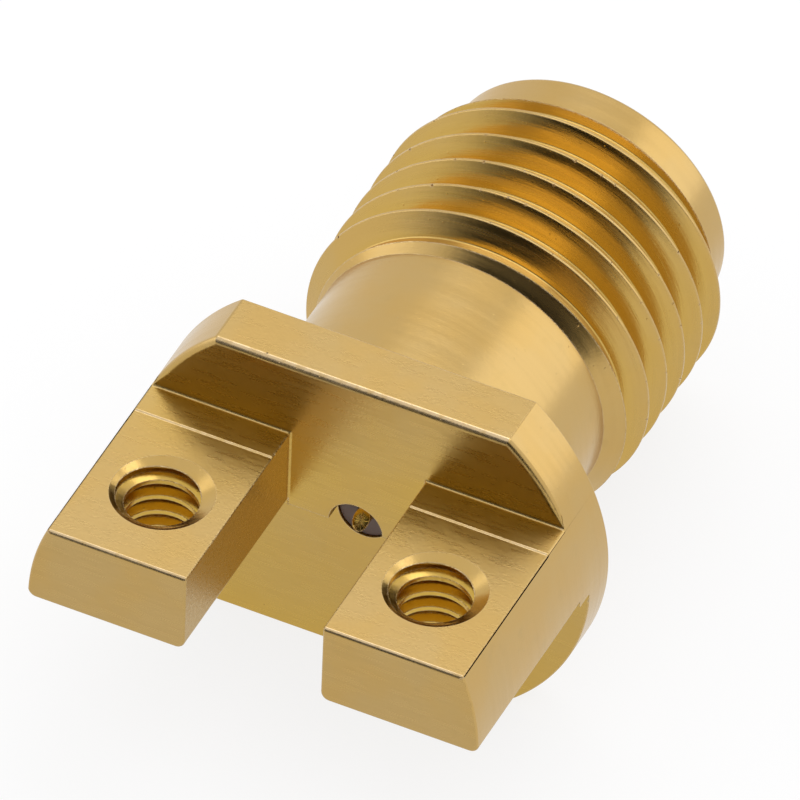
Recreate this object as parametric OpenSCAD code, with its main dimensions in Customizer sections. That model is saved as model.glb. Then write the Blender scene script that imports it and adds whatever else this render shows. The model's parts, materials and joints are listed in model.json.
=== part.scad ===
// Coaxial jack, female SMA interface, for the edge of a circuit board.
// The frame: origin on the axis at the mating reference plane, +Y towards the mating end, +Z up
// from the board. The board lies under the two legs, with its edge against the flange.

/* [Threaded barrel] */
// Major diameter of the coupling thread, 1/4-36
thread_d = 6.26; // [6.0:0.01:6.35]
// Pitch of the coupling thread
thread_pitch = 0.7056; // [0.5:0.0001:1]
// Depth of the thread form, crest to root
thread_depth = 0.40; // [0.3:0.01:0.45]
// Width of the flat on a crest and in a root
thread_flat = 0.09; // [0.05:0.01:0.12]
// Length of the threaded stretch at its full diameter, between the chamfers at its ends
thread_l = 3.41; // [3:0.01:6]
// Distance from the end of the neck to the middle of the first groove
thread_lead = 0.37; // [0.35:0.01:0.7]
// Diameter of the plain neck behind the thread
neck_d = 5.40; // [5.2:0.01:5.6]
// Length of the neck, from the flange to the chamfer behind the thread
neck_l = 2.93; // [1:0.01:5]
// Length of the chamfer that rises from the neck to the thread
shoulder_l = 0.43; // [0.2:0.01:0.6]

/* [Front lip] */
// Diameter of the plain lip in front of the thread
lip_d = 5.24; // [5.1:0.01:5.4]
// Length of the lip, from the chamfer to the mating face
lip_l = 0.70; // [0.4:0.01:1.5]
// Radius on the lip's outer edge
lip_round = 0.10; // [0.03:0.01:0.2]
// Bevel inside the mouth of the mating bore
mouth_bevel = 0.10; // [0.02:0.01:0.15]

/* [Mating bore] */
// Diameter of the bore that takes the plug's outer contact
mate_bore_d = 4.60; // [4.58:0.01:4.68]
// Depth of that bore, from the mating face to the reference plane
mate_bore_depth = 1.93; // [1.88:0.01:1.98]
// Diameter of the bore behind the reference plane, which holds the insulator
dielectric_d = 4.12; // [4.0:0.01:4.3]
// Solid wall left behind the insulator, from the flange's rear face
rear_wall = 1.60; // [1.2:0.01:3]
// Diameter of the small hole through that wall
rear_hole_d = 1.00; // [0.9:0.01:1.4]

/* [Flange] */
// Diameter of the turned bar that flange and legs keep outside
flange_d = 8.38; // [7.5:0.01:10]
// Distance between the top and bottom flats
flats_w = 6.35; // [6:0.01:7]
// Thickness of the flange
flange_t = 1.12; // [0.8:0.01:2]
// How much deeper the rear face is cut below the legs, where the board's edge stops
edge_step = 0.37; // [0.1:0.01:0.6]
// Radius on the turned edge of the flange's front face
flange_bevel = 0.04; // [0.02:0.01:0.1]

/* [Legs] */
// Length of the legs behind the flange
leg_l = 4.00; // [3.2:0.01:7]
// Height of the legs' top faces above the axis
leg_top = 1.63; // [1:0.01:2.4]
// Height of the legs' seats on the board above the axis
leg_seat = 0; // [-0.3:0.01:0.3]
// Width of the slot between the legs
slot_w = 2.54; // [2:0.01:3.2]
// Radius on the lower long edges of the legs
leg_round = 0.16; // [0.05:0.01:0.3]
// Distance between the two screw holes
screw_spacing = 5.08; // [4.8:0.01:5.4]
// Distance of the screw holes behind the flange's rear face
screw_back = 2.28; // [1.6:0.01:2.6]
// Minor diameter of the M1.6 screw thread
screw_minor_d = 1.30; // [1:0.01:1.5]
// Diameter of the countersinks at the holes' ends
csk_d = 1.81; // [1.6:0.01:2]
// Angle of the countersinks' cones
csk_angle = 120; // [82:1:130]

/* [Insulator] */
// Radial clearance of the insulator in the body, and round the contact
fit_gap = 0.01; // [0.01:0.005:0.03]
// Web of insulator between the contact's shoulder and the rear wall
web_t = 0.30; // [0.2:0.01:0.8]
// How far the end of the insulator's spigot stays inside the lower rear face
spigot_recess = 0.05; // [0.02:0.01:0.6]

/* [Centre contact] */
// Outer diameter of the contact
contact_d = 1.27; // [1.2:0.01:1.4]
// Diameter of the socket for the plug's pin
socket_d = 0.94; // [0.9:0.01:0.98]
// Depth of the socket
socket_depth = 2.80; // [2.4:0.01:4]
// How far the contact's front stays behind the reference plane
contact_recess = 0.05; // [0:0.01:0.25]
// Length of the slots that make the socket springy
slit_l = 2.00; // [1:0.01:2.3]
// Width of these slots
slit_w = 0.15; // [0.1:0.01:0.17]
// Diameter of the barb that holds the contact in the insulator
barb_d = 1.46; // [1.35:0.01:1.8]
// Length of the barb
barb_l = 0.45; // [0.2:0.01:0.8]
// Diameter of the thin tail through the rear wall
tail_d = 0.30; // [0.2:0.01:0.5]
// How far the tail's cut end stands behind the flange's rear face
tail_reach = 0.00; // [-0.3:0.01:1.5]

/* [Hidden] */
$fn = 96;
// How far a cutter reaches past the face that it cuts
eps = 0.01;
// Cuts across the socket, each of which makes two slots
slits = 2;

gold = [0.80, 0.66, 0.40];
ptfe = [0.93, 0.92, 0.90];

thread_r = thread_d / 2;
root_r = thread_r - thread_depth;
neck_r = neck_d / 2;
lip_r = lip_d / 2;
flange_r = flange_d / 2;

// Stations along the axis, from the mating face backwards
face_y = mate_bore_depth;
lip_y = face_y - lip_l;
chamfer_l = thread_r - lip_r;
thread_end_y = lip_y - chamfer_l;
thread_start_y = thread_end_y - thread_l;
neck_end_y = thread_start_y - shoulder_l;
flange_front_y = neck_end_y - neck_l;
rear_y = flange_front_y - flange_t;
edge_y = rear_y + edge_step;
leg_end_y = rear_y - leg_l;
bore_floor_y = rear_y + rear_wall;

// Ring grooves at the thread's pitch, the first at the chamfer behind the thread
groove_half = (thread_pitch - thread_flat) / 2;
groove_top = groove_half + eps * tan(30);
groove_root = groove_half - thread_depth * tan(30);
first_groove_y = neck_end_y + thread_lead;
grooves = 1 + floor((lip_y - groove_root - first_groove_y) / thread_pitch);

leg_h = leg_top - leg_seat;
slot_r = slot_w / 2;
screw_y = rear_y - screw_back;
screw_r = screw_minor_d / 2;
csk_depth = (csk_d - screw_minor_d) / 2 / tan(csk_angle / 2);
// Size of the blocks that mill the flats and the legs, larger than the bar
past = flange_d;

// Insulator and contact take their places from the body's bores
insulator_r = dielectric_d / 2 - fit_gap;
spigot_r = rear_hole_d / 2 - fit_gap;
spigot_y = edge_y + spigot_recess;
contact_r = contact_d / 2;
contact_y = -contact_recess;
shoulder_y = bore_floor_y + web_t;
barb_y = (contact_y - socket_depth + shoulder_y) / 2;
barb_r = barb_d / 2;
tail_r = tail_d / 2;
tail_y = rear_y - tail_reach;

// Points on an arc, for the corners of a profile
function arc(center, r, from, to, steps = 8) =
    [for (i = [0 : steps]) let (a = from + (to - from) * i / steps) center + r * [cos(a), sin(a)]];

// Revolves a profile of [radius, y] points about the connector's axis
module turned(profile) {
    rotate([-90, 0, 0]) rotate_extrude() polygon(profile);
}

// A hole along the connector's axis
module axial_hole(r, from, to) {
    turned([[0, from], [r, from], [r, to], [0, to]]);
}

// Barrel, flange and the bar that the legs are milled from, as they leave the lathe
module turned_blank() {
    turned(concat(
        [[0, leg_end_y], [flange_r, leg_end_y]],
        arc([flange_r - flange_bevel, flange_front_y - flange_bevel], flange_bevel, 0, 90),
        [[neck_r, flange_front_y], [neck_r, neck_end_y], [thread_r, thread_start_y],
         [thread_r, thread_end_y], [lip_r, lip_y]],
        arc([lip_r - lip_round, face_y - lip_round], lip_round, 0, 90),
        [[0, face_y]]));
}

// One ring groove of the thread, 60 degrees between its flanks
module thread_groove(y) {
    turned([[root_r, y - groove_root], [root_r, y + groove_root],
            [thread_r + eps, y + groove_top], [thread_r + eps, y - groove_top]]);
}

// Stock above the top flat and below the bottom one
module flats_cut() {
    for (side = [-1, 1]) translate([0, rear_y, side * (flats_w / 2 + past / 2)])
        cube([past, 2 * (flange_t + leg_l), past], center = true);
}

// Stock above the legs, below them as far as the board's edge, and between them
module legs_cut() {
    translate([-past / 2, leg_end_y - eps, leg_top]) cube([past, leg_l + eps, past]);
    translate([-past / 2, leg_end_y - eps, leg_seat - past])
        cube([past, leg_l + edge_step + eps, past]);
    translate([-slot_r, leg_end_y - eps, leg_seat - eps]) cube([slot_w, leg_l + eps, leg_h + 2 * eps]);
}

// Quarter-round cutter for a lower long edge of a leg: the leg's corner is at the origin, and
// the leg lies towards +X and +Z
module edge_cutter() {
    rotate([90, 0, 0]) linear_extrude(leg_l + eps) difference() {
        translate([-eps, -eps]) square(leg_round + eps);
        translate([leg_round, leg_round]) circle(leg_round);
    }
}

// Tapped screw hole through a leg, countersunk at both ends
module screw_hole() {
    translate([0, 0, leg_seat - eps]) cylinder(r = screw_r, h = leg_h + 2 * eps);
    csk_over = csk_d / 2 + eps * tan(csk_angle / 2);
    translate([0, 0, leg_top - csk_depth]) cylinder(r1 = screw_r, r2 = csk_over, h = csk_depth + eps);
    translate([0, 0, leg_seat - eps]) cylinder(r1 = csk_over, r2 = screw_r, h = csk_depth + eps);
}

// Bores along the axis: mating bore, insulator bore and the tail's hole
module axial_bores() {
    turned([[0, 0], [mate_bore_d / 2, 0], [mate_bore_d / 2, face_y - mouth_bevel],
            [mate_bore_d / 2 + mouth_bevel + eps, face_y + eps], [0, face_y + eps]]);
    axial_hole(dielectric_d / 2, bore_floor_y, eps);
    axial_hole(rear_hole_d / 2, rear_y - eps, bore_floor_y + eps);
}

module body() {
    color(gold) difference() {
        turned_blank();
        flats_cut();
        legs_cut();
        for (k = [0 : grooves - 1]) thread_groove(first_groove_y + k * thread_pitch);
        for (side = [0, 1]) mirror([side, 0, 0]) {
            translate([slot_r, rear_y, leg_seat]) edge_cutter();
            translate([flange_r, rear_y, leg_seat]) mirror([1, 0, 0]) edge_cutter();
            translate([screw_spacing / 2, screw_y, 0]) screw_hole();
        }
        axial_bores();
    }
}

// The contact's outline, grown by a clearance, is also the insulator's bore
module contact_outline(grow) {
    turned([[0, tail_y - grow], [tail_r + grow, tail_y - grow],
            [tail_r + grow, shoulder_y - grow], [contact_r + grow, shoulder_y - grow],
            [contact_r + grow, barb_y - barb_l / 2 - grow], [barb_r + grow, barb_y - barb_l / 2 - grow],
            [contact_r + grow, barb_y + barb_l / 2 + grow], [contact_r + grow, contact_y],
            [0, contact_y]]);
}

module insulator() {
    color(ptfe) difference() {
        union() {
            axial_hole(insulator_r, bore_floor_y, 0);
            axial_hole(spigot_r, spigot_y, bore_floor_y + eps);
        }
        contact_outline(fit_gap);
        axial_hole(contact_r + fit_gap, contact_y - eps, eps);
    }
}

module center_contact() {
    color(gold) difference() {
        contact_outline(0);
        axial_hole(socket_d / 2, contact_y - socket_depth, contact_y + eps);
        for (i = [0 : slits - 1]) rotate([0, i * 180 / slits, 0])
            translate([-contact_d, contact_y - slit_l, -slit_w / 2]) cube([2 * contact_d, slit_l + eps, slit_w]);
    }
}

body();
insulator();
center_contact();
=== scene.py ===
import json
import math
import random
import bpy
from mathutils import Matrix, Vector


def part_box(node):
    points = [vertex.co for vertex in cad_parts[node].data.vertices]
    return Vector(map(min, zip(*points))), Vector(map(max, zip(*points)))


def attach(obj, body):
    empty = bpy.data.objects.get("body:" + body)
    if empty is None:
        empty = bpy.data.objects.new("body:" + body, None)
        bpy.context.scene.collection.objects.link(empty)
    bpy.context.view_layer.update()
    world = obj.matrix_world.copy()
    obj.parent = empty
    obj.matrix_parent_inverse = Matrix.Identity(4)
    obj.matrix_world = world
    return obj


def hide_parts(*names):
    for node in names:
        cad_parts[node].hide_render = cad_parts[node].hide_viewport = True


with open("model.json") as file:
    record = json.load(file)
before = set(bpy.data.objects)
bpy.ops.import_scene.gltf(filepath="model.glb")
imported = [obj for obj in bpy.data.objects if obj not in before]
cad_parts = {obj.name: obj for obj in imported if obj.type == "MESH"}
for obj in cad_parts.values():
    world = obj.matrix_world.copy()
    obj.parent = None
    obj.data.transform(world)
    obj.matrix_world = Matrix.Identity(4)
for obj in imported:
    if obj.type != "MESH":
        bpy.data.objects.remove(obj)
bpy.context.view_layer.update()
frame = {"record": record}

from types import SimpleNamespace
from typing import NamedTuple

import bmesh
import bpy
from bpy.props import FloatProperty, FloatVectorProperty, IntProperty, PointerProperty
from mathutils import Matrix, Vector

bl_info = {
    "name": "Edge-launch coaxial jack",
    "version": (1, 0, 0),
    "blender": (4, 5, 0),
    "location": "3D View > Sidebar > Jack",
    "description": "Dresses the packed coaxial jack in plated gold and PTFE, on a pale floor",
    "category": "Object",
}

# The frame's own measures, in metres
BODY_LOW, BODY_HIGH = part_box("body")
INSULATOR_LOW, INSULATOR_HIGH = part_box("insulator")
CONTACT_LOW, CONTACT_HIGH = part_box("center_contact")
MOUNTS = {m["name"]: m for m in frame["record"]["mounts"]}

# Meshes are built in millimetres, where every feature is well above Blender's smallest steps
PER_METRE = 1000.0
# How many sides stand for a round, on the large solids and on small holes
SIDES = 252
HOLE_SIDES = 96
# A smaller radius than this is on the axis, in millimetres
AXIS_GAP = 1e-6
THREAD_FLANK = math.radians(30)
SCREW_FLANK = math.radians(22)
# Keeps the roundings of the outer edges inside the frame's box, in millimetres
MARGIN = 0.0005
# Points closer than this are one point, in millimetres
WELD = 0.0004
# Folds over this are edges that tumbling rounds, in this many steps
SHARP_FOLD = math.radians(30)
ROUNDING_STEPS = 5
# Folds under these are shaded smooth: all over, and where the coupling thread ends
SMOOTH_FOLD = math.radians(25)
THREAD_END_FOLD = math.radians(12)
# How far a bump of full height stands out, in metres, and how deep pits and dents are in it
BUMP_HEIGHT = 0.000004
PIT_DEPTH = 1.0
DENT_DEPTH = 3.0
# How much duller pits are, how much smoother worn and highlighted edges are, and how far both take
# the paler gold, which is partly wear and partly painted highlight
PIT_DULLING = 0.3
WEAR_POLISH = 0.08
WEAR_AND_HIGHLIGHT_SHARE = 0.8
VALUE, VECTOR, COLOUR = "NodeSocketFloat", "NodeSocketVector", "NodeSocketColor"

# The material indices that all cutters and solids of the body share
FINISHES = ("turned", "milled", "threaded", "tapped", "bored")
TURNED, MILLED, THREADED, TAPPED, BORED = range(len(FINISHES))


def length(label, text, default, smallest=0.0):
    """A size in metres, as a property that a user sees in scene units."""
    return FloatProperty(name=label, description=text, default=default, min=smallest,
                         precision=5, unit="LENGTH", subtype="DISTANCE")


def degrees(label, text, default):
    """An angle property, with its default in degrees."""
    return FloatProperty(name=label, description=text, default=math.radians(default),
                         subtype="ANGLE")


def colour(label, text, default):
    """A linear colour property."""
    return FloatVectorProperty(name=label, description=text, default=default, size=3,
                               min=0.0, max=1.0, subtype="COLOR")


class JackBodySizes(bpy.types.PropertyGroup):
    """Sizes of the plated body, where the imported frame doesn't give them"""

    neck_d: length("Neck diameter", "Plain neck between flange and thread", 0.0054)
    neck_l: length("Neck length", "From the flange to the chamfer behind the thread", 0.00293)
    shoulder_l: length("Chamfer length", "Chamfer that rises from the neck to the thread", 0.00043)
    pitch: length("Thread pitch", "Pitch of the coupling thread", 0.0007056, 0.0001)
    thread_depth: length("Thread depth", "From crest to root", 0.0004)
    thread_flat: length("Crest flat", "Width of the thread's crest", 0.00005)
    crest_phase: length("Thread start", "Place of the first crest above the axis", -0.003106, -0.1)
    crest_round: length("Crest rounding", "Radius where flank and crest meet", 0.000025)
    root_round: length("Root rounding", "Radius where flank and root meet", 0.00004)
    lip_d: length("Lip diameter", "Plain lip in front of the thread", 0.00524)
    lip_l: length("Lip length", "From the thread's chamfer to the mating face", 0.0007)
    lip_round: length("Lip rounding", "Radius on the lip's outer edge", 0.0001)
    mouth_bevel: length("Mouth bevel", "Bevel inside the mouth of the mating bore", 0.0001)
    flange_t: length("Flange thickness", "Thickness of the flange above the legs", 0.00112)
    edge_step: length("Rear face step", "How much deeper the rear face is below the legs", 0.00037)
    flange_round: length("Flange rounding", "Radius on the flange's front edge", 0.000025)
    leg_top: length("Leg height", "Top faces of the legs above the board", 0.00163)
    slot_w: length("Slot width", "Between the two legs", 0.00254)
    leg_round: length("Leg rounding", "Radius on the legs' lower long edges", 0.00016)
    strip_w: length("Strip width", "Second cut on the legs, next to the flange", 0.000645)
    strip_step: length("Strip step", "How much higher that cut lies", 0.000015)
    strip_slope: length("Strip slope", "Width of the soft step up to it", 0.000055)
    rear_wall: length("Rear wall", "Solid metal behind the insulator", 0.0016)
    rear_hole_d: length("Rear hole diameter", "Hole for the contact's tail", 0.001)
    screw_major_d: length("Screw thread diameter", "Major diameter in the legs' holes", 0.0016)
    screw_pitch: length("Screw thread pitch", "Pitch in the legs' holes", 0.00035, 0.0001)
    screw_crest: length("Screw thread crest", "Width of the crests in the legs' holes", 0.00009)
    screw_lead: length("Screw thread lead", "How far this thread is turned in", 0.00008)
    countersink_d: length("Countersink diameter", "At both ends of the legs' holes", 0.00181)
    countersink: degrees("Countersink angle", "Full angle of the cones", 120)


class JackContactSizes(bpy.types.PropertyGroup):
    """Sizes of the centre contact and its insulator"""

    contact_d: length("Contact diameter", "Outer diameter of the contact", 0.00127)
    slit_l: length("Slot length", "Slots that make the socket springy", 0.002)
    slit_w: length("Slot width", "Width of these slots", 0.00015)
    barb_l: length("Barb length", "Barb that holds the contact", 0.00045)
    barb_depth: length("Barb depth", "Barb's middle behind the reference plane", 0.00406)
    tail_d: length("Tail diameter", "Thin tail through the rear wall", 0.0003)
    web_t: length("Insulator web", "Between the contact's shoulder and the rear wall", 0.0003)
    fit_gap: length("Fit gap", "Clearance round the contact", 0.00001)
    edge_round: length("Edge rounding", "On the insulator's and the contact's front edges", 0.00004)
    slits: IntProperty(name="Slot cuts", description="Cuts across the socket", default=2, min=1)


class JackFinishes(bpy.types.PropertyGroup):
    """Colours and surface qualities"""

    gold: colour("Gold", "Colour of the plating", (0.54, 0.364, 0.137))
    gold_warm: colour("Warm gold", "Where the plating is thicker", (0.55, 0.357, 0.118))
    gold_dull: colour("Dull gold", "Stains and handling marks", (0.44, 0.300, 0.110))
    pit: colour("Pits", "Small dark pits in the plating", (0.10, 0.06, 0.025))
    ptfe: colour("PTFE", "Colour of the insulator", (0.85, 0.83, 0.79))
    # Painted shade: the deeper orange gold that slots, grooves and holes take in place of their
    # shade
    gold_painted_shade: colour("Gold in painted shade", "Sheltered places, in painted shade", (0.60, 0.387, 0.07))
    # Paler gold: wear on edges, and a painted highlight on the upper side of rounded edges
    worn_gold_and_highlight: colour("Worn gold", "Polished edges", (0.68, 0.52, 0.32))
    ptfe_shade: colour("PTFE shade", "Tool marks on the insulator", (0.70, 0.67, 0.62))
    # Painted shade: the near-black colour of the insulator's end in the rear hole
    ptfe_painted_shade: colour("PTFE in painted shade", "Its end in the rear hole", (0.13, 0.09, 0.075))


class JackStage(bpy.types.PropertyGroup):
    """Camera, lamps and floor"""

    azimuth: degrees("Azimuth", "Camera's direction round the jack", 24.114)
    elevation: degrees("Elevation", "Camera's height over the horizon", 43.464)
    roll: degrees("Roll", "Camera's turn about its own axis", 2.26)
    distance: length("Distance", "From the camera to what it looks at", 0.4717)
    lens: FloatProperty(name="Lens", description="Focal length on the full sensor, in millimetres",
                        default=1268.2, min=1.0)
    target: FloatVectorProperty(name="Target", description="Point that the camera looks at",
                                default=(0.00073, -0.00717, 0.00328), size=3, unit="LENGTH",
                                subtype="XYZ")
    floor_colour: colour("Floor", "Colour of the pale floor", (0.95, 0.95, 0.95))
    floor_glow: FloatProperty(name="Floor glow", description="Share of plain white in the floor",
                              default=0.8, min=0.0, max=1.0, subtype="FACTOR")
    floor_size: length("Floor size", "Side of the square floor", 0.5)
    ambient: FloatProperty(name="Ambient light", description="Even light from all round",
                           default=0.9, min=0.0)


def millimetres(settings):
    """The lengths of a property group, as plain numbers in millimetres."""
    return SimpleNamespace(**{name: getattr(settings, name) * PER_METRE
                              for name, kind in settings.bl_rna.properties.items()
                              if kind.type == "FLOAT" and kind.unit == "LENGTH"})


# ---- mesh tools

def along_jack(point):
    """Turns a solid built about Z, so that it lies on the jack's axis, with X up."""
    x, y, z = point
    return (y, z, x)


def new_object(name, data):
    """An object with that data, in the scene."""
    thing = bpy.data.objects.new(name, data)
    bpy.context.scene.collection.objects.link(thing)
    return thing


def new_solid(name, points, faces, finish=TURNED):
    """An object with that closed mesh, all faces with the same finish."""
    mesh = bpy.data.meshes.new(name)
    mesh.from_pydata(points, [], faces)
    for label in FINISHES:
        mesh.materials.append(bpy.data.materials.get("plated_" + label))
    mesh.polygons.foreach_set("material_index", [finish] * len(mesh.polygons))
    work = bmesh.new()
    work.from_mesh(mesh)
    bmesh.ops.recalc_face_normals(work, faces=work.faces)
    work.to_mesh(mesh)
    work.free()
    return new_object(name, mesh)


def arc(centre, radius, start, end, steps=4):
    """Points of a round corner in an outline, from one angle in degrees to another."""
    points = []
    for step in range(steps + 1):
        angle = math.radians(start + (end - start) * step / steps)
        points.append((centre[0] + radius * math.cos(angle), centre[1] + radius * math.sin(angle)))
    return points


def turned_solid(name, outline, finish=TURNED, sides=SIDES, place=along_jack):
    """A closed outline of (radius, height) turned about the axis. Radius 0 makes a pole."""
    points = []
    rings = []
    for radius, height in outline:
        on_axis = radius < AXIS_GAP
        rings.append([len(points) + (0 if on_axis else side) for side in range(sides)])
        for side in range(1 if on_axis else sides):
            angle = math.tau * side / sides
            points.append(place((radius * math.cos(angle), radius * math.sin(angle), height)))
    faces = []
    for here, ring in enumerate(rings):
        beyond = rings[(here + 1) % len(rings)]
        if ring[0] == ring[1] and beyond[0] == beyond[1]:
            continue
        for side in range(sides):
            after = (side + 1) % sides
            corners = (ring[side], ring[after], beyond[after], beyond[side])
            faces.append(list(dict.fromkeys(corners)))
    return new_solid(name, points, faces, finish)


def helical_solid(name, outline, pitch, start, turns, finish, sides=SIDES, place=along_jack):
    """A closed outline of (radius, height) carried along a right-handed helix, with flat ends."""
    steps = round(turns * sides)
    corners = len(outline)
    points = []
    for step in range(steps + 1):
        angle = math.tau * step / sides
        rise = start + pitch * step / sides
        points += [place((r * math.cos(angle), r * math.sin(angle), h + rise)) for r, h in outline]
    faces = []
    for first in range(0, steps * corners, corners):
        for corner in range(corners):
            after = (corner + 1) % corners
            faces.append([first + corner, first + after,
                          first + corners + after, first + corners + corner])
    faces.append(list(range(corners)))
    faces.append([steps * corners + corner for corner in range(corners)])
    return new_solid(name, points, faces, finish)


def extruded_solid(name, outline, low, high, place):
    """A closed outline of pairs, extruded from low to high. place turns the three into x, y, z."""
    corners = len(outline)
    points = [place(first, second, depth) for depth in (low, high) for first, second in outline]
    faces = [list(range(corners)), list(range(corners, 2 * corners))]
    for corner in range(corners):
        after = (corner + 1) % corners
        faces.append([corner, after, corners + after, corners + corner])
    return new_solid(name, points, faces, MILLED)


def chips(name, places, reach, seed, finish=MILLED):
    """One mesh of small uneven diamonds at those places, for nicks and burrs on an edge.
    reach gives each diamond's smallest and largest half size along x, y and z."""
    draw = random.Random(seed)
    points = []
    faces = []
    for centre in places:
        first = len(points)
        for axis in range(3):
            for side in (-1, 1):
                point = list(centre)
                point[axis] += side * draw.uniform(*reach[axis])
                points.append(point)
        for a in (0, 1):
            for b in (2, 3):
                for c in (4, 5):
                    faces.append([first + a, first + b, first + c])
    return new_solid(name, points, faces, finish)


def scattered(start, end, count, seed):
    """Places along a line, unevenly spaced but never on each other."""
    draw = random.Random(seed)
    start, end = Vector(start), Vector(end)
    return [start.lerp(end, (place + draw.uniform(0.15, 0.85)) / count) for place in range(count)]


def settle(solid):
    """Turns a solid's modifiers into its mesh."""
    depsgraph = bpy.context.evaluated_depsgraph_get()
    mesh = bpy.data.meshes.new_from_object(solid.evaluated_get(depsgraph))
    solid.modifiers.clear()
    old = solid.data
    solid.data = mesh
    bpy.data.meshes.remove(old)


def cut(solid, tool):
    """Cuts a tool from a solid, and removes the tool."""
    modifier = solid.modifiers.new("cut", "BOOLEAN")
    modifier.operation = "DIFFERENCE"
    modifier.solver = "MANIFOLD"
    modifier.object = tool
    settle(solid)
    if not solid.data.polygons:
        raise RuntimeError(f"nothing is left of {solid.name} after {tool.name}")
    bpy.data.meshes.remove(tool.data)


def round_edges(solid, radius_at):
    """Rounds the sharp edges. radius_at gives the radius for an edge's middle and its fold."""
    work = bmesh.new()
    work.from_mesh(solid.data)
    weight = work.edges.layers.float.new("bevel_weight_edge")
    for edge in work.edges:
        fold = edge.calc_face_angle_signed(0.0)
        if abs(fold) > SHARP_FOLD:
            edge[weight] = radius_at((edge.verts[0].co + edge.verts[1].co) / 2, fold)
    work.to_mesh(solid.data)
    work.free()
    modifier = solid.modifiers.new("rounding", "BEVEL")
    modifier.limit_method = "WEIGHT"
    modifier.width = 1.0
    modifier.segments = ROUNDING_STEPS
    modifier.use_clamp_overlap = False
    settle(solid)


def shade(mesh):
    """Smooths a mesh over its small folds. At each corner the largest face has the most say, so
    flat faces stay flat and the roundings between them take up the whole turn. The coupling
    thread's flanks keep a crisp edge to the chamfers at its ends."""
    work = bmesh.new()
    work.from_mesh(mesh)
    bmesh.ops.remove_doubles(work, verts=work.verts, dist=WELD)
    bmesh.ops.dissolve_degenerate(work, edges=work.edges, dist=WELD)
    work.to_mesh(mesh)
    threaded = [face.material_index == THREADED for face in mesh.polygons]
    normals = [face.normal.copy() for face in mesh.polygons]
    weighted = [face.normal * face.area for face in mesh.polygons]
    around = [[] for _ in mesh.vertices]
    for face in mesh.polygons:
        for corner in face.vertices:
            around[corner].append(face.index)
    least = math.cos(SMOOTH_FOLD)
    least_there = math.cos(THREAD_END_FOLD)
    smoothed = {}
    for face in mesh.polygons:
        own = normals[face.index]
        for corner in face.vertices:
            total = Vector()
            for other in around[corner]:
                seam = threaded[face.index] != threaded[other]
                if own.dot(normals[other]) > (least_there if seam else least):
                    total += weighted[other]
            smoothed[face.index, corner] = total.normalized() if total.length else own
    # Faces with many corners are cut into even triangles, which keep the normals found above
    work.faces.ensure_lookup_table()
    source = work.faces.layers.int.new("source")
    for index, face in enumerate(work.faces):
        face[source] = index
    many = [face for face in work.faces if len(face.verts) > 4]
    bmesh.ops.triangulate(work, faces=many, ngon_method="BEAUTY")
    sources = [face[source] for face in work.faces]
    work.faces.layers.int.remove(source)
    work.to_mesh(mesh)
    work.free()
    mesh.shade_smooth()
    mesh.normals_split_custom_set([smoothed[sources[face.index], corner]
                                   for face in mesh.polygons for corner in face.vertices])


def coat(solid, material):
    """Gives a solid that one material all over."""
    mesh = solid.data
    mesh.materials.clear()
    mesh.materials.append(bpy.data.materials[material])
    mesh.polygons.foreach_set("material_index", [0] * len(mesh.polygons))


def finish_piece(solid, node):
    """Scales a finished mesh to metres, shades it, and lets it stand for its CAD node."""
    shade(solid.data)
    solid.data.transform(Matrix.Scale(1 / PER_METRE, 4))
    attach(solid, "root")
    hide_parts(node)


# ---- shader tools

class Nodes:
    """Adds nodes to a tree and links them, one short call each."""

    def __init__(self, tree):
        self.tree = tree
        self.count = 0

    def add(self, kind, settings=None, **inputs):
        node = self.tree.nodes.new(kind)
        node.location = (self.count * 180, 0)
        self.count += 1
        for name, value in (settings or {}).items():
            setattr(node, name, value)
        for name, value in inputs.items():
            self.feed(node, name.replace("_", " "), value)
        return node

    def feed(self, node, socket, value):
        """Gives a socket, by name or place, a value, another socket or a node's first output."""
        target = node.inputs[socket]
        if isinstance(value, bpy.types.NodeSocket):
            self.tree.links.new(value, target)
        elif isinstance(value, bpy.types.Node):
            self.tree.links.new(value.outputs[0], target)
        else:
            target.default_value = value

    def feed_all(self, node, *values):
        for place, value in enumerate(values):
            self.feed(node, place, value)
        return node.outputs

    def math(self, operation, *values):
        return self.feed_all(self.add("ShaderNodeMath", {"operation": operation}), *values)[0]

    def vectors(self, operation, *values):
        return self.feed_all(self.add("ShaderNodeVectorMath", {"operation": operation}), *values)

    def times(self, first, second):
        return self.math("MULTIPLY", first, second)

    def split(self, vector):
        return self.add("ShaderNodeSeparateXYZ", Vector=vector).outputs

    def noise(self, vector, scale, detail=2.0, roughness=0.5):
        node = self.add("ShaderNodeTexNoise", Vector=vector, Scale=scale, Detail=detail,
                        Roughness=roughness)
        return node.outputs["Fac"]

    def band(self, value, low, high, to_low=0.0, to_high=1.0):
        node = self.add("ShaderNodeMapRange", {"interpolation_type": "SMOOTHSTEP"}, Value=value,
                        From_Min=low, From_Max=high, To_Min=to_low, To_Max=to_high)
        return node.outputs["Result"]

    def mix(self, factor, first, second):
        """The first colour where factor is 0, and the second where it is 1."""
        node = self.add("ShaderNodeMix", {"data_type": "RGBA"})
        # The places of the sockets for colours
        for place, value in ((0, factor), (6, first), (7, second)):
            self.feed(node, place, value)
        return node.outputs[2]

    def either(self, share, first, second):
        """The first shader where share is 0, and the second where it is 1."""
        return self.feed_all(self.add("ShaderNodeMixShader"), share, first, second)[0]

    def surface(self, shader):
        """Makes that shader the material's surface."""
        self.add("ShaderNodeOutputMaterial", Surface=shader)


def new_material(name):
    """A material with no nodes yet, and its nodes' helper."""
    material = bpy.data.materials.new(name)
    material.use_nodes = True
    material.node_tree.nodes.clear()
    return material, Nodes(material.node_tree)


def rgba(value):
    """A colour property with full opacity."""
    return (*value, 1.0)


# ---- shared shader groups

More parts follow.
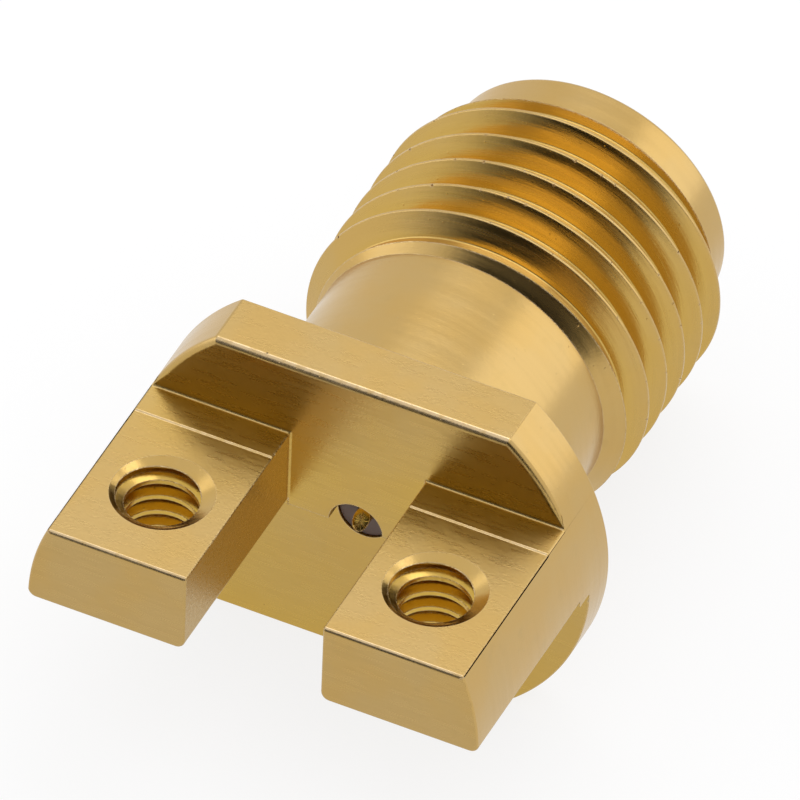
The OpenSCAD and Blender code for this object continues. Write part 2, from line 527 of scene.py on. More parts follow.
def new_group(name, inputs, outputs):
    """An empty shader group with those sockets, and its nodes' helper, input and output."""
    group = bpy.data.node_groups.new(name, "ShaderNodeTree")
    for label, kind, default in inputs:
        socket = group.interface.new_socket(label, in_out="INPUT", socket_type=kind)
        socket.default_value = default
    for label, kind in outputs:
        group.interface.new_socket(label, in_out="OUTPUT", socket_type=kind)
    nodes = Nodes(group)
    source = nodes.add("NodeGroupInput").outputs
    sink = nodes.add("NodeGroupOutput")
    return nodes, source, sink


def build_place_group():
    """Where a point is on the jack, in millimetres: its place, and its rings about the axis."""
    nodes, _, sink = new_group("Jack place", [], [("Place", VECTOR), ("Rings", VECTOR)])
    here = nodes.add("ShaderNodeTexCoord").outputs["Object"]
    place = nodes.vectors("MULTIPLY", here, (PER_METRE,) * 3)[0]
    x, y, z = nodes.split(place)
    radius = nodes.math("SQRT", nodes.math("ADD", nodes.times(x, x), nodes.times(z, z)))
    turn = nodes.math("ARCTAN2", z, x)
    rings = nodes.add("ShaderNodeCombineXYZ", X=radius, Y=y, Z=turn)
    nodes.feed(sink, "Place", place)
    nodes.feed(sink, "Rings", rings.outputs[0])


def build_marks_group():
    """Tool marks: fine lines from noise that is stretched along the tool's path."""
    nodes, source, sink = new_group("Tool marks", [
        ("Vector", VECTOR, (0, 0, 0)), ("Stretch", VECTOR, (1, 1, 1)), ("Fineness", VALUE, 1.0)],
        [("Height", VALUE), ("Coarse", VALUE)])
    path = nodes.vectors("MULTIPLY", source["Vector"], source["Stretch"])[0]
    fine = nodes.noise(path, nodes.times(source["Fineness"], 3.0), 3.0, 0.6)
    coarse = nodes.noise(path, source["Fineness"], 1.0)
    height = nodes.math("MULTIPLY_ADD", coarse, 0.5, nodes.times(fine, 0.5))
    nodes.feed(sink, "Height", height)
    nodes.feed(sink, "Coarse", coarse)


def build_plating_group():
    """The plating itself: uneven gold, stains, dark pits and the tumbled grain."""
    nodes, source, sink = new_group("Plating", [
        ("Vector", VECTOR, (0, 0, 0)), ("Gold", COLOUR, (1, 1, 1, 1)),
        ("Warm", COLOUR, (1, 1, 1, 1)), ("Dull", COLOUR, (1, 1, 1, 1)),
        ("Pit", COLOUR, (0, 0, 0, 1)), ("Stains", VALUE, 0.3), ("Grain", VALUE, 12.0)],
        [("Color", COLOUR), ("Pits", VALUE), ("Height", VALUE), ("Sparkle", VALUE)])
    place = source["Vector"]
    broad = nodes.band(nodes.noise(place, 0.7, 3.0, 0.55), 0.35, 0.65)
    uneven = nodes.mix(broad, source["Gold"], source["Warm"])
    stain = nodes.times(nodes.band(nodes.noise(place, 1.9, 4.0, 0.65), 0.55, 0.75),
                        source["Stains"])
    stained = nodes.mix(stain, uneven, source["Dull"])
    cells = nodes.add("ShaderNodeTexVoronoi", {"feature": "F1"}, Vector=place, Scale=2.3)
    kind = nodes.add("ShaderNodeSeparateColor", Color=cells.outputs["Color"]).outputs
    rim = nodes.math("MULTIPLY_ADD", nodes.noise(place, 30.0), 0.06, cells.outputs["Distance"])
    spot = nodes.band(nodes.math("SUBTRACT", rim, nodes.times(kind[1], 0.05)), 0.02, 0.05, 1.0, 0.0)
    chosen = nodes.band(kind[0], 0.80, 0.84)
    pits = nodes.times(spot, chosen)
    nodes.feed(sink, "Color", nodes.mix(pits, stained, source["Pit"]))
    nodes.feed(sink, "Pits", pits)
    grain = nodes.noise(place, source["Grain"], 3.0, 0.6)
    nodes.feed(sink, "Height", grain)
    flakes = nodes.add("ShaderNodeTexVoronoi", {"feature": "F1"}, Vector=place,
                       Scale=nodes.times(source["Grain"], 1.1))
    flash = nodes.band(flakes.outputs["Distance"], 0.05, 0.22, 1.0, 0.0)
    kind = nodes.add("ShaderNodeSeparateColor", Color=flakes.outputs["Color"]).outputs
    nodes.feed(sink, "Sparkle", nodes.times(flash, nodes.band(kind[1], 0.88, 0.96)))


def build_painted_shade_group():
    """Mask for painted shade, from ambient occlusion: 1 deep in slots, grooves and holes, 0 on open
    faces.
    """
    nodes, source, sink = new_group("Sheltered places", [
        ("Reach", VALUE, 0.003), ("Share", VALUE, 1.0)], [("Shelter", VALUE)])
    around = nodes.add("ShaderNodeAmbientOcclusion", {"samples": 4}, Distance=source["Reach"])
    depth = nodes.band(around.outputs["AO"], 0.4, 1.0, 1.0, 0.0)
    nodes.feed(sink, "Shelter", nodes.times(depth, source["Share"]))


def build_edge_group():
    """Edge wear and a painted highlight: 1 on worn edges and on up-facing rounded edges, 0 on open
    faces. Dents are the knocks along the worn edges.
    """
    nodes, source, sink = new_group("Edge wear and highlight", [
        ("Vector", VECTOR, (0, 0, 0)), ("Radius", VALUE, 0.00004), ("Shoulders", VALUE, 0.0)],
        [("Wear and highlight", VALUE), ("Dents", VALUE)])
    rounded = nodes.add("ShaderNodeBevel", {"samples": 4}, Radius=source["Radius"])
    true = nodes.add("ShaderNodeNewGeometry").outputs["Normal"]
    aligned = nodes.vectors("DOT_PRODUCT", rounded, true)["Value"]
    edge = nodes.band(aligned, 0.90, 0.99, 1.0, 0.0)
    uneven = nodes.band(nodes.noise(source["Vector"], 6.0, 2.0), 0.25, 0.6, 0.4, 1.0)
    # Painted highlight: rounded edges that face up, and don't turn sideways, take the paler gold as
    # if lit from above
    sideways, _, upwards = nodes.split(true)
    upper = nodes.times(nodes.band(upwards, 0.35, 0.75),
                        nodes.band(upwards, 0.985, 0.999, 1.0, 0.0))
    straight = nodes.band(nodes.math("ABSOLUTE", sideways), 0.05, 0.2, 1.0, 0.0)
    top_highlight_mask = nodes.times(nodes.times(upper, straight), source["Shoulders"])
    nodes.feed(sink, "Wear and highlight", nodes.times(nodes.math("MAXIMUM", edge, top_highlight_mask), uneven))
    knocks = nodes.band(nodes.noise(source["Vector"], 22.0, 3.0, 0.7), 0.4, 0.62)
    nodes.feed(sink, "Dents", nodes.times(edge, knocks))


def placed_group(nodes, name, **inputs):
    """A shared group put in a material, with its own values."""
    node = nodes.add("ShaderNodeGroup", {"node_tree": bpy.data.node_groups[name]})
    for label, value in inputs.items():
        nodes.feed(node, label, value)
    return node.outputs


class PlatedLook(NamedTuple):
    """How one kind of machined surface shows through the gold plate"""

    label: str
    # How far the tool marks are stretched, and whether they run about the jack's axis
    stretch: tuple
    on_rings: bool
    roughness: float
    # How far the roughness varies
    spread: float
    marks_height: float
    marks_fineness: float
    grain_fineness: float
    grain_height: float
    stains: float
    # How far painted shade turns the colour a deeper orange gold in slots and grooves
    painted_shade: float = 1.0
    # Under 1 the colour is a little deeper all over
    tone: float = 1.0
    # How much painted highlight the upper side of rounded edges gets
    top_highlight: float = 0.0


ABOUT = (1.0, 1.0, 0.12)
ACROSS = (0.12, 1.0, 1.0)
ALONG = (1.0, 0.06, 1.0)
ALL_WAYS = (1.0, 1.0, 1.0)
PLATED_LOOKS = (
    PlatedLook("turned", ABOUT, True, 0.24, 0.03, 0.5, 9.0, 9.0, 0.35, 0.25, painted_shade=0.25),
    PlatedLook("milled", ACROSS, False, 0.30, 0.04, 0.08, 14.0, 20.0, 0.6, 0.2, tone=0.92,
               top_highlight=1.0),
    PlatedLook("threaded", ABOUT, True, 0.24, 0.05, 0.7, 11.0, 9.0, 0.3, 0.3, painted_shade=0.8),
    PlatedLook("tapped", ALL_WAYS, False, 0.20, 0.03, 0.3, 9.0, 10.0, 0.3, 0.3),
    PlatedLook("bored", ABOUT, True, 0.26, 0.04, 0.6, 10.0, 9.0, 0.3, 0.3),
    PlatedLook("contact", ALONG, False, 0.22, 0.03, 0.4, 9.0, 10.0, 0.3, 0.2))


def gold_material(look, colours):
    """Gold plate over one kind of machined surface."""
    _, nodes = new_material("plated_" + look.label)
    place = placed_group(nodes, "Jack place")
    gold, warm, dull = (rgba(Vector(colour) * look.tone) for colour in
                        (colours.gold, colours.gold_warm, colours.gold_dull))
    plating = placed_group(nodes, "Plating", Vector=place["Place"], Gold=gold, Warm=warm, Dull=dull,
                           Pit=rgba(colours.pit), Stains=look.stains, Grain=look.grain_fineness)
    tool = placed_group(nodes, "Tool marks", Vector=place["Rings" if look.on_rings else "Place"],
                        Stretch=look.stretch, Fineness=look.marks_fineness)
    shade_mask = placed_group(nodes, "Sheltered places", Share=look.painted_shade)["Shelter"]
    # Painted shade: the colour turns to the deep gold where the occlusion mask finds a recess
    shaded_colour = nodes.mix(shade_mask, plating["Color"], rgba(colours.gold_painted_shade))
    # Painted highlight on the upper side of rounded edges, only outside the painted shade
    open_highlight = nodes.math("MULTIPLY_ADD", shade_mask, -look.top_highlight, look.top_highlight)
    edges = placed_group(nodes, "Edge wear and highlight", Vector=place["Place"], Shoulders=open_highlight)
    wear_and_highlight = edges["Wear and highlight"]
    worn_and_highlit = nodes.mix(nodes.times(wear_and_highlight, WEAR_AND_HIGHLIGHT_SHARE), shaded_colour, rgba(colours.worn_gold_and_highlight))
    base = nodes.band(tool["Coarse"], 0.3, 0.7, look.roughness - look.spread,
                      look.roughness + look.spread)
    dulled = nodes.math("MULTIPLY_ADD", plating["Pits"], PIT_DULLING, base)
    rough = nodes.math("MULTIPLY_ADD", wear_and_highlight, -WEAR_POLISH, dulled)
    height = nodes.math("ADD", nodes.times(tool["Height"], look.marks_height),
                        nodes.times(plating["Height"], look.grain_height))
    flakes = nodes.math("ADD", height, nodes.times(plating["Sparkle"], look.grain_height * 2))
    pitted = nodes.math("MULTIPLY_ADD", plating["Pits"], -PIT_DEPTH, flakes)
    dented = nodes.math("MULTIPLY_ADD", edges["Dents"], -DENT_DEPTH, pitted)
    bump = nodes.add("ShaderNodeBump", Height=dented, Strength=1.0, Distance=BUMP_HEIGHT)
    shader = nodes.add("ShaderNodeBsdfPrincipled", Base_Color=worn_and_highlit, Metallic=1.0, Roughness=rough,
                       Normal=bump.outputs[0])
    nodes.surface(shader.outputs[0])


def ptfe_material(colours):
    """White turned PTFE, slightly waxy, with faint rings from the tool."""
    _, nodes = new_material("turned_ptfe")
    place = placed_group(nodes, "Jack place")
    tool = placed_group(nodes, "Tool marks", Vector=place["Rings"], Stretch=(1.0, 1.0, 0.15),
                        Fineness=9.0)
    cloud = nodes.noise(place["Place"], 2.5, 3.0)
    marks = nodes.times(nodes.band(tool["Coarse"], 0.4, 0.75), 0.5)
    clean = nodes.mix(marks, rgba(colours.ptfe), rgba(colours.ptfe_shade))
    depth = nodes.split(place["Place"])[1]
    # Painted shade: the insulator's end behind the rear wall, in the rear hole, turns near black
    rear = nodes.band(depth, -6.6, -6.2, 1.0, 0.0)
    hole_shaded = nodes.mix(rear, clean, rgba(colours.ptfe_painted_shade))
    rough = nodes.band(cloud, 0.3, 0.7, 0.42, 0.58)
    bump = nodes.add("ShaderNodeBump", Height=tool["Height"], Strength=0.6, Distance=BUMP_HEIGHT)
    shader = nodes.add("ShaderNodeBsdfPrincipled", Base_Color=hole_shaded, Roughness=rough,
                       Normal=bump.outputs[0])
    shader.inputs["Subsurface Weight"].default_value = 0.2
    shader.inputs["Subsurface Scale"].default_value = 0.0002
    shader.inputs["Specular IOR Level"].default_value = 0.3
    nodes.surface(shader.outputs[0])


# ---- operators

def insulator_seat(body):
    """Where the insulator seats on the rear wall, from the body's sizes in millimetres."""
    edge_y = MOUNTS["board_edge_stop"]["pos_m"][1] * PER_METRE
    return edge_y - body.edge_step + body.rear_wall


def barb_ends(contact):
    """The barb's rear and front ends, from the contact's sizes in millimetres."""
    middle = -contact.barb_depth
    return middle - contact.barb_l / 2, middle + contact.barb_l / 2


class JACK_OT_finishes(bpy.types.Operator):
    """Make the shared shader groups and every plated and plastic finish"""

    bl_idname = "jack.finishes"
    bl_label = "Finishes"

    def execute(self, context):
        for build in (build_place_group, build_marks_group, build_plating_group,
                      build_painted_shade_group, build_edge_group):
            build()
        colours = context.scene.jack_finishes
        for look in PLATED_LOOKS:
            gold_material(look, colours)
        ptfe_material(colours)
        return {"FINISHED"}


class JACK_OT_body(bpy.types.Operator):
    """Turn, mill and thread the plated body"""

    bl_idname = "jack.body"
    bl_label = "Plated body"

    # All in millimetres. Cutters reach PAST the bar, or just OVER the face that they open
    PAST = 9.0
    OVER = 0.05
    # The milling cutter's corner, and the steps of the soft rise up to the second cut
    FILLET = 0.05
    RISE_STEPS = 8
    # Edges this close to a face belong to it
    NEAR = 0.02
    # Radii left by tumbling: the legs' ends and these ends' top edges, the legs' other top edges,
    # and what is left. Along the flange's rear the radius grows with the height over the legs.
    END_RADIUS = 0.05
    END_TOP_RADIUS = 0.075
    TOP_RADIUS = 0.03
    PLAIN_RADIUS = 0.025
    REAR_RADII = (0.03, 0.12)
    REAR_START = 0.1
    REAR_GROWTH = 0.25
    # Where slot, rear face and seat meet, edges this close in height and depth stay sharp
    CORNER_HEIGHT = 0.2
    CORNER_DEPTH = 0.06
    # Nicks on the legs' inner top edges: how many, how large along x, y and z, and their seeds
    LEG_NICKS = 34
    LEG_NICK_REACH = ((0.006, 0.03), (0.012, 0.05), (0.006, 0.03))
    LEG_NICK_SEEDS = {-1: 11, 1: 12}
    # Nicks along the thread's crest: where they start and how they are spaced in turns of the
    # thread, how far they lie off the crest along its radius and its axis, and how large they are
    CREST_START = 0.7
    CREST_SPACING = (0.01, 0.04)
    CREST_OFF = ((-0.006, 0.016), (-0.04, 0.04))
    CREST_NICK_REACH = ((0.012, 0.042), (0.012, 0.06), (0.012, 0.042))
    CREST_SEEDS = (21, 22)

    def execute(self, context):
        size = millimetres(context.scene.jack_body)
        size.face_y = BODY_HIGH.y * PER_METRE
        size.leg_end_y = BODY_LOW.y * PER_METRE
        size.flange_r = BODY_HIGH.x * PER_METRE - MARGIN
        size.flat_z = BODY_HIGH.z * PER_METRE
        size.seat_z = MOUNTS["board_seat_left"]["pos_m"][2] * PER_METRE
        size.edge_y = MOUNTS["board_edge_stop"]["pos_m"][1] * PER_METRE
        size.thread_r = MOUNTS["mating_thread"]["dims"]["r_mm"]
        size.mate_r = MOUNTS["mating_bore"]["dims"]["r_mm"]
        size.lip_y = size.face_y - size.lip_l
        size.thread_end_y = size.lip_y - (size.thread_r - size.lip_d / 2)
        size.rear_y = size.edge_y - size.edge_step
        size.flange_y = size.rear_y + size.flange_t
        size.neck_end_y = size.flange_y + size.neck_l
        body = self.turned_blank(size)
        self.mill(body, size)
        round_edges(body, lambda middle, fold: self.edge_radius(size, middle, fold))
        self.thread(body, size)
        self.bore(body, size)
        for name in ("leg_hole_left", "leg_hole_right"):
            self.tap(body, size, context.scene.jack_body.countersink,
                     Vector(MOUNTS[name]["pos_m"]) * PER_METRE)
        self.nick(body, size)
        body.name = "plated_body"
        finish_piece(body, "body")
        return {"FINISHED"}

    def turned_blank(self, size):
        """Barrel, neck, flange and the bar that the legs are milled from."""
        lip_r = size.lip_d / 2
        neck_r = size.neck_d / 2
        corner = size.flange_r - size.flange_round
        stock_y = size.leg_end_y - 1
        return turned_solid("blank", [
            (0, stock_y), (size.flange_r, stock_y),
            *arc((corner, size.flange_y - size.flange_round), size.flange_round, 0, 90),
            (neck_r, size.flange_y), (neck_r, size.neck_end_y),
            (size.thread_r, size.neck_end_y + size.shoulder_l),
            (size.thread_r, size.thread_end_y), (lip_r, size.lip_y),
            *arc((lip_r - size.lip_round, size.face_y - size.lip_round), size.lip_round, 0, 90),
            (0, size.face_y)])

    def mill(self, body, size):
        """Flats, the legs' ends, the steps above and below them, and the slot between them."""
        past, fillet, slope = self.PAST, self.FILLET, size.strip_slope
        start = size.leg_end_y - past
        seat, top, rear = size.seat_z, size.leg_top, size.rear_y
        strip_top = top + size.strip_step
        strip_y = rear - size.strip_w
        sideways = lambda y, z, x: (x, y, z)
        upright = lambda x, y, z: (x, y, z)
        for side in (-1, 1):
            flat = side * size.flat_z
            outline = [(start, flat), (past, flat), (past, side * past), (start, side * past)]
            cut(body, extruded_solid("flat", outline, -past, past, sideways))
        end = size.leg_end_y
        outline = [(start, -past), (end, -past), (end, past), (start, past)]
        cut(body, extruded_solid("end", outline, -past, past, sideways))
        steps = self.RISE_STEPS
        rise = [(strip_y - slope + slope * step / steps,
                 top + size.strip_step * (1 - math.cos(math.pi * step / steps)) / 2)
                for step in range(steps + 1)]
        above = [(start, top), *rise, *arc((rear - fillet, strip_top + fillet), fillet, -90, 0),
                 (rear, past), (start, past)]
        cut(body, extruded_solid("above", above, -past, past, sideways))
        below = [(start, seat), *arc((size.edge_y - fillet, seat - fillet), fillet, 90, 0),
                 (size.edge_y, -past), (start, -past)]
        cut(body, extruded_solid("below", below, -past, past, sideways))
        half = size.slot_w / 2
        slot = [(-half, start), (half, start), *arc((half - fillet, rear - fillet), fillet, 0, 90),
                *arc((fillet - half, rear - fillet), fillet, 90, 180)]
        cut(body, extruded_solid("slot", slot, seat - 1, top + 1, upright))
        for side in (-1, 1):
            for corner, inwards in ((half, 1), (size.flange_r, -1)):
                self.round_leg(body, size, side, corner, inwards)

    def round_leg(self, body, size, side, corner, inwards):
        """The large radius on a lower long edge of a leg."""
        radius = size.leg_round
        over = 0.01
        centre = (corner + inwards * radius, size.seat_z + radius)
        start, end = (180, 270) if inwards > 0 else (0, -90)
        outside, below = corner - inwards * over, size.seat_z - over
        outline = [(outside, below), (outside, centre[1]), *arc(centre, radius, start, end, 6),
                   (centre[0], below)]
        mirrored = lambda x, z, y: (side * x, y, z)
        cut(body, extruded_solid("edge", outline, size.leg_end_y - 1, size.rear_y, mirrored))

    def edge_radius(self, size, middle, fold):
        """How far each edge of the flange and legs is rounded by tumbling."""
        near = self.NEAR
        if fold < 0 or middle.y > size.flange_y + near:
            return 0.0
        if middle.y < size.leg_end_y + near:
            return self.END_TOP_RADIUS if middle.z > size.leg_top - near else self.END_RADIUS
        if middle.y > size.flange_y - near:
            return size.flange_round if abs(middle.z) > size.flat_z - near else 0.0
        if (abs(middle.z - size.seat_z) < self.CORNER_HEIGHT
                and middle.y > size.rear_y - self.CORNER_DEPTH):
            return 0.0
        rise = middle.z - size.leg_top
        if rise > near and middle.y < size.rear_y + near:
            least, most = self.REAR_RADII
            return min(most, least + self.REAR_GROWTH * max(0.0, rise - self.REAR_START))
        return self.TOP_RADIUS if abs(rise) <= near else self.PLAIN_RADIUS

    def thread(self, body, size):
        """The coupling thread: one right-handed groove that runs out at both ends."""
        slant = math.degrees(THREAD_FLANK)
        top_half = (size.pitch - size.thread_flat) / 2
        root_half = top_half - size.thread_depth * math.tan(THREAD_FLANK)
        root_r = size.thread_r - size.thread_depth
        # Both roundings touch the flank and its neighbour, half a flank's turn from the corner
        turn = math.tan(math.radians(90 - slant) / 2)
        fill, crest, over = size.root_round, size.crest_round, 0.3
        half = arc((root_r + fill, root_half - fill * turn), fill, 180, 90 + slant, 3)
        half += arc((size.thread_r - crest, top_half + crest * turn), crest, slant - 90, 0, 3)
        half.append((size.thread_r + over, top_half + crest * turn))
        outline = half + [(radius, -height) for radius, height in reversed(half)]
        start = size.crest_phase - 1.5 * size.pitch
        turns = math.ceil((size.face_y - start) / size.pitch) + 1
        cut(body, helical_solid("groove", outline, size.pitch, start, turns, THREADED))

    def bore(self, body, size):
        """Mating bore, insulator bore and the small hole through the rear wall."""
        floor_y = insulator_seat(size)
        bevel = size.mouth_bevel
        over, fit = 0.02, 0.01
        insulator_r = INSULATOR_HIGH.x * PER_METRE + fit
        cut(body, turned_solid("bores", [
            (0, floor_y), (insulator_r, floor_y), (insulator_r, 0), (size.mate_r, 0),
            (size.mate_r, size.face_y - bevel), (size.mate_r + bevel + over, size.face_y + over),
            (0, size.face_y + over)], BORED))
        hole_r = size.rear_hole_d / 2
        low, high = size.rear_y - 1, floor_y + 1
        cut(body, turned_solid("hole", [(0, low), (hole_r, low), (hole_r, high), (0, high)],
                               BORED, HOLE_SIDES))

    def tap(self, body, size, cone, centre):
        """A tapped hole through a leg, countersunk at both ends."""
        upright = lambda point: (point[0] + centre.x, point[1] + centre.y, point[2])
        minor_r = MOUNTS["leg_hole_left"]["dims"]["r_mm"]
        major_r = size.screw_major_d / 2
        outer_r = size.countersink_d / 2
        slope = math.tan(cone / 2)
        sink = (outer_r - minor_r) / slope
        over = self.OVER
        low, high = size.seat_z, size.leg_top
        cut(body, turned_solid("tap", [
            (0, low - over), (outer_r + over * slope, low - over), (minor_r, low + sink),
            (minor_r, high - sink), (outer_r + over * slope, high + over), (0, high + over)],
            TAPPED, HOLE_SIDES, upright))
        flank = math.tan(SCREW_FLANK)
        mouth = (size.screw_pitch - size.screw_crest) / 2 + over * flank
        flat = 2 * (mouth - (major_r - minor_r + over) * flank)
        outline = [(minor_r - over, -mouth), (major_r, -flat / 2), (major_r, flat / 2),
                   (minor_r - over, mouth)]
        start = low - 2 * size.screw_pitch - size.screw_lead
        turns = math.ceil((high - low) / size.screw_pitch) + 4
        cut(body, helical_solid("tap_groove", outline, size.screw_pitch, start, turns, TAPPED,
                                HOLE_SIDES, upright))

    def nick(self, body, size):
        """Small nicks along the legs' inner top edges and along the thread's crest."""
        half = size.slot_w / 2
        clear = 0.1
        for side, seed in self.LEG_NICK_SEEDS.items():
            places = scattered((side * half, size.leg_end_y + clear, size.leg_top),
                               (side * half, size.rear_y - clear, size.leg_top),
                               self.LEG_NICKS, seed)
            cut(body, chips("nicks", places, self.LEG_NICK_REACH, seed))
        place_seed, shape_seed = self.CREST_SEEDS
        outwards, along = self.CREST_OFF
        draw = random.Random(place_seed)
        places = []
        turn = self.CREST_START
        while size.crest_phase + turn * size.pitch < size.thread_end_y - size.pitch / 2:
            angle = math.tau * turn
            radius = size.thread_r + draw.uniform(*outwards)
            places.append((radius * math.sin(angle),
                           size.crest_phase + turn * size.pitch + draw.uniform(*along),
                           radius * math.cos(angle)))
            turn += draw.uniform(*self.CREST_SPACING)
        cut(body, chips("crest_nicks", places, self.CREST_NICK_REACH, shape_seed, THREADED))


class JACK_OT_insulator(bpy.types.Operator):
    """Turn the PTFE insulator"""

    bl_idname = "jack.insulator"
    bl_label = "Insulator"

    def execute(self, context):
        size = millimetres(context.scene.jack_contact)
        body = millimetres(context.scene.jack_body)
        outer_r = INSULATOR_HIGH.x * PER_METRE
        bore_r = size.contact_d / 2 + size.fit_gap
        tail_r = size.tail_d / 2 + size.fit_gap
        spigot_r = body.rear_hole_d / 2 - size.fit_gap
        low, high = INSULATOR_LOW.y * PER_METRE, INSULATOR_HIGH.y * PER_METRE
        floor_y = insulator_seat(body)
        web_y = floor_y + size.web_t - size.fit_gap
        barb_r = CONTACT_HIGH.x * PER_METRE + size.fit_gap
        barb_low, barb_high = barb_ends(size)
        edge = size.edge_round
        insulator = turned_solid("ptfe_insulator", [
            (tail_r, low), (spigot_r, low), (spigot_r, floor_y), (outer_r, floor_y),
            *arc((outer_r - edge, high - edge), edge, 0, 90), (bore_r + edge, high),
            (bore_r, high - edge), (bore_r, barb_high), (barb_r, barb_low), (bore_r, barb_low),
            (bore_r, web_y), (tail_r, web_y)])
        coat(insulator, "turned_ptfe")
        finish_piece(insulator, "insulator")
        return {"FINISHED"}


class JACK_OT_contact(bpy.types.Operator):
    """Turn and slot the centre contact"""

    bl_idname = "jack.contact"
    bl_label = "Centre contact"

    # In millimetres: how much of the tail is its end, how far the cut sets it back, and how
    # uneven the cut is
    END_DEPTH = 0.03
    SET_BACK = 0.05
    UNEVEN = 0.006

    def execute(self, context):
        size = millimetres(context.scene.jack_contact)
        low, high = CONTACT_LOW.y * PER_METRE, CONTACT_HIGH.y * PER_METRE
        contact_r = size.contact_d / 2
        tail_r = size.tail_d / 2
        socket_r = MOUNTS["contact_socket"]["dims"]["r_mm"]
        socket_y = high - MOUNTS["contact_socket"]["dims"]["length_mm"]
        shoulder_y = insulator_seat(millimetres(context.scene.jack_body)) + size.web_t
        barb_r = CONTACT_HIGH.x * PER_METRE
        barb_low, barb_high = barb_ends(size)
        edge = size.edge_round
        lead_in = 2 * edge
        contact = turned_solid("gold_contact", [
            (0, low), (tail_r * 0.4, low), (tail_r * 0.75, low), (tail_r, low + 0.02),
            (tail_r, shoulder_y), (contact_r, shoulder_y),
            (contact_r, barb_low), (barb_r, barb_low), (contact_r, barb_high),
            *arc((contact_r - edge, high - edge), edge, 0, 90), (socket_r + lead_in, high),
            (socket_r, high - lead_in), (socket_r, socket_y), (0, socket_y - socket_r * 0.5)],
            sides=HOLE_SIDES)
        slits = context.scene.jack_contact.slits
        half = size.slit_w / 2
        for slit in range(slits):
            turn = Matrix.Rotation(math.pi * slit / slits, 3, "Y")
            outline = [(-1, -half), (1, -half), (1, half), (-1, half)]
            turned = lambda x, z, y, turn=turn: tuple(turn @ Vector((x, y, z)))
            cut(contact, extruded_solid("slit", outline, high - size.slit_l, high + 1, turned))
        self.nip_off(contact, low)
        coat(contact, "plated_contact")
        finish_piece(contact, "center_contact")
        return {"FINISHED"}

    def nip_off(self, contact, low):
        """The tail is nipped off: its end slants, and is slightly uneven."""
        draw = random.Random(5)
        end = [vertex for vertex in contact.data.vertices if vertex.co.y < low + self.END_DEPTH]
        reach = max(vertex.co.z for vertex in end)
        for vertex in end:
            vertex.co.y += self.SET_BACK + vertex.co.z + reach + draw.uniform(0.0, self.UNEVEN)


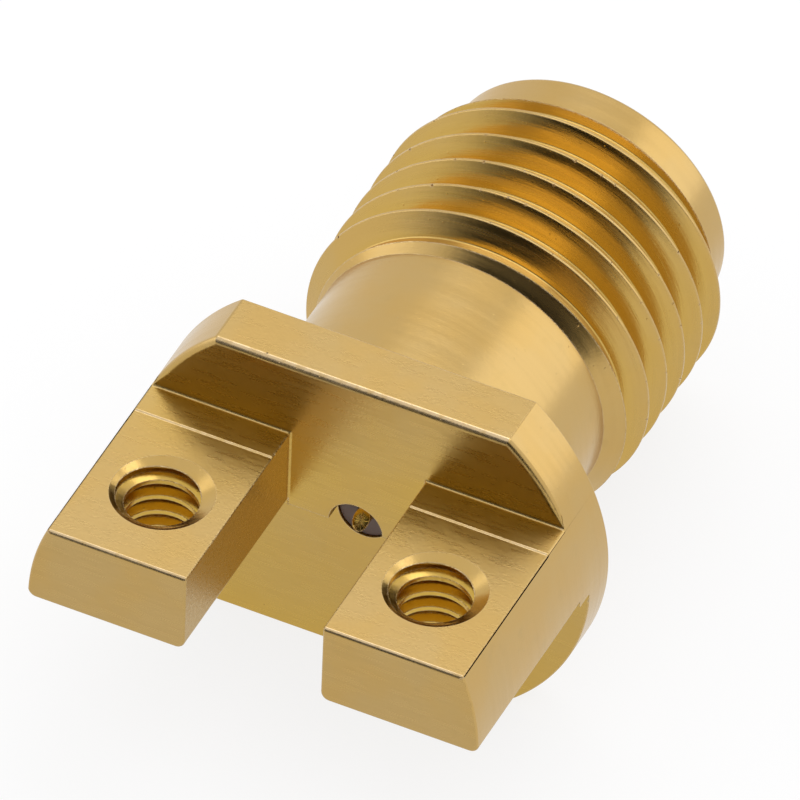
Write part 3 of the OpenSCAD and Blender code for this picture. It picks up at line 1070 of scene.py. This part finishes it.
class JACK_OT_stage(bpy.types.Operator):
    """Set up camera, floor, lamps and background"""

    bl_idname = "jack.stage"
    bl_label = "Studio stage"

    # Each soft panel's place, size and brightness, the light's colour and what all are aimed at
    SOFTBOXES = {
        "overhead_softbox": ((0.01, 0.05, 0.135), (0.16, 0.062), 1.35),
        "right_panel": ((0.113, 0.124, 0.066), (0.117, 0.14), 0.62),
        "left_panel": ((-0.13, -0.03, 0.055), (0.11, 0.11), 0.62)}
    LIGHT_COLOUR = (0.97, 1.0, 1.1)
    AIM = Vector((0, -0.004, 0))
    # The black card's left and right, distance, bottom and top, and where it fades out
    CARD = ((-0.115, 0.165), -0.12, (-0.003, 0.172))
    CARD_FADE = (-0.112, -0.025)
    # How far the floor lies below the jack
    FLOOR_GAP = 0.000002

    def execute(self, context):
        stage = context.scene.jack_stage
        context.scene.view_settings.view_transform = "Standard"
        self.camera(context, stage)
        self.floor(stage)
        self.world(context, stage)
        for name, (place, size, brightness) in self.SOFTBOXES.items():
            self.softbox(name, place, size, brightness)
        self.black_card()
        return {"FINISHED"}

    def camera(self, context, stage):
        """A long lens at the product's angle, without depth of field."""
        data = bpy.data.cameras.new("camera")
        data.lens = stage.lens
        data.sensor_width = 36.0
        data.clip_start = 0.01
        data.clip_end = 5.0
        camera = new_object("camera", data)
        azimuth, elevation = stage.azimuth, stage.elevation
        back = Vector((math.sin(azimuth) * math.cos(elevation),
                       -math.cos(azimuth) * math.cos(elevation), math.sin(elevation)))
        level = Vector((math.cos(azimuth), math.sin(azimuth), 0.0))
        turn = Matrix.Rotation(stage.roll, 3, back)
        right = turn @ level
        up = back.cross(right)
        camera.matrix_world = Matrix.Translation(Vector(stage.target) + back * stage.distance) \
            @ Matrix((right, up, back)).transposed().to_4x4()
        context.scene.camera = camera

    def white_rays(self, nodes):
        """1 for rays that see the plain white background: straight, mirrored or through glass."""
        path = nodes.add("ShaderNodeLightPath").outputs
        straight = nodes.math("MAXIMUM", path["Is Camera Ray"], path["Is Glossy Ray"])
        return nodes.math("MAXIMUM", straight, path["Is Transmission Ray"])

    def floor(self, stage):
        """A pale floor under the jack that keeps its shadow."""
        material, nodes = new_material("pale_floor")
        matt = nodes.add("ShaderNodeBsdfDiffuse", Color=rgba(stage.floor_colour))
        white = nodes.add("ShaderNodeEmission", Color=(1, 1, 1, 1), Strength=1.0)
        share = nodes.times(self.white_rays(nodes), stage.floor_glow)
        nodes.surface(nodes.either(share, matt, white))
        half = stage.floor_size / 2
        level = BODY_LOW.z - self.FLOOR_GAP
        self.sheet("floor", material, [(-half, -half, level), (half, -half, level),
                                       (half, half, level), (-half, half, level)])

    def sheet(self, name, material, corners):
        """One flat face that belongs to the stage."""
        mesh = bpy.data.meshes.new(name)
        mesh.from_pydata(corners, [], [range(len(corners))])
        mesh.materials.append(material)
        face = new_object(name, mesh)
        return face

    def world(self, context, stage):
        """White for the background rays, and a plain even light for all others."""
        world = bpy.data.worlds.new("studio")
        world.use_nodes = True
        world.node_tree.nodes.clear()
        nodes = Nodes(world.node_tree)
        even = nodes.add("ShaderNodeBackground", Color=(1, 1, 1, 1), Strength=stage.ambient)
        white = nodes.add("ShaderNodeBackground", Color=(1, 1, 1, 1), Strength=1.0)
        seen = nodes.either(self.white_rays(nodes), even, white)
        nodes.add("ShaderNodeOutputWorld", Surface=seen)
        context.scene.world = world

    def softbox(self, name, place, size, brightness):
        """A soft panel lamp. brightness is what a mirror shows of it, where 1 is white."""
        data = bpy.data.lights.new(name, "AREA")
        data.shape = "RECTANGLE"
        data.size, data.size_y = size
        data.energy = brightness * math.pi * size[0] * size[1]
        data.color = self.LIGHT_COLOUR
        lamp = new_object(name, data)
        turn = (self.AIM - Vector(place)).to_track_quat("-Z", "Y")
        lamp.matrix_world = Matrix.Translation(place) @ turn.to_matrix().to_4x4()
        lamp.visible_camera = False

    def black_card(self):
        """A black card under the lens, which polished metal shows as its dark accents. It fades
        out towards the left."""
        material, nodes = new_material("black_card")
        here = nodes.add("ShaderNodeTexCoord").outputs["Object"]
        share = nodes.band(nodes.split(here)[0], *self.CARD_FADE)
        clear = nodes.add("ShaderNodeBsdfTransparent")
        black = nodes.add("ShaderNodeBsdfDiffuse", Color=(0.02, 0.02, 0.02, 1))
        nodes.surface(nodes.either(share, clear, black))
        (left, right), y, (bottom, top) = self.CARD
        card = self.sheet("front_card", material, [(left, y, bottom), (right, y, bottom),
                                                   (right, y, top), (left, y, top)])
        for rays in ("camera", "diffuse", "shadow", "transmission"):
            setattr(card, "visible_" + rays, False)


class JACK_PT_panel(bpy.types.Panel):
    """The jack's sizes, finishes and stage"""

    bl_idname = "JACK_PT_panel"
    bl_label = "Coaxial jack"
    bl_space_type = "VIEW_3D"
    bl_region_type = "UI"
    bl_category = "Jack"

    def draw(self, context):
        scene = context.scene
        for operator, settings in ((JACK_OT_finishes, scene.jack_finishes),
                                   (JACK_OT_body, scene.jack_body),
                                   (JACK_OT_insulator, scene.jack_contact),
                                   (JACK_OT_contact, scene.jack_contact),
                                   (JACK_OT_stage, scene.jack_stage)):
            box = self.layout.box()
            box.operator(operator.bl_idname)
            for name in settings.__annotations__:
                box.prop(settings, name)


GROUPS = {"jack_body": JackBodySizes, "jack_contact": JackContactSizes,
          "jack_finishes": JackFinishes, "jack_stage": JackStage}
CLASSES = (*GROUPS.values(), JACK_OT_finishes, JACK_OT_body, JACK_OT_insulator, JACK_OT_contact,
           JACK_OT_stage, JACK_PT_panel)


def register():
    for cls in CLASSES:
        bpy.utils.register_class(cls)
    for name, group in GROUPS.items():
        setattr(bpy.types.Scene, name, PointerProperty(type=group))


def unregister():
    for name in GROUPS:
        delattr(bpy.types.Scene, name)
    for cls in reversed(CLASSES):
        bpy.utils.unregister_class(cls)


def main():
    register()
    bpy.ops.jack.stage()
    bpy.ops.jack.finishes()
    bpy.ops.jack.body()
    bpy.ops.jack.insulator()
    bpy.ops.jack.contact()


if __name__ == "__main__":
    main()
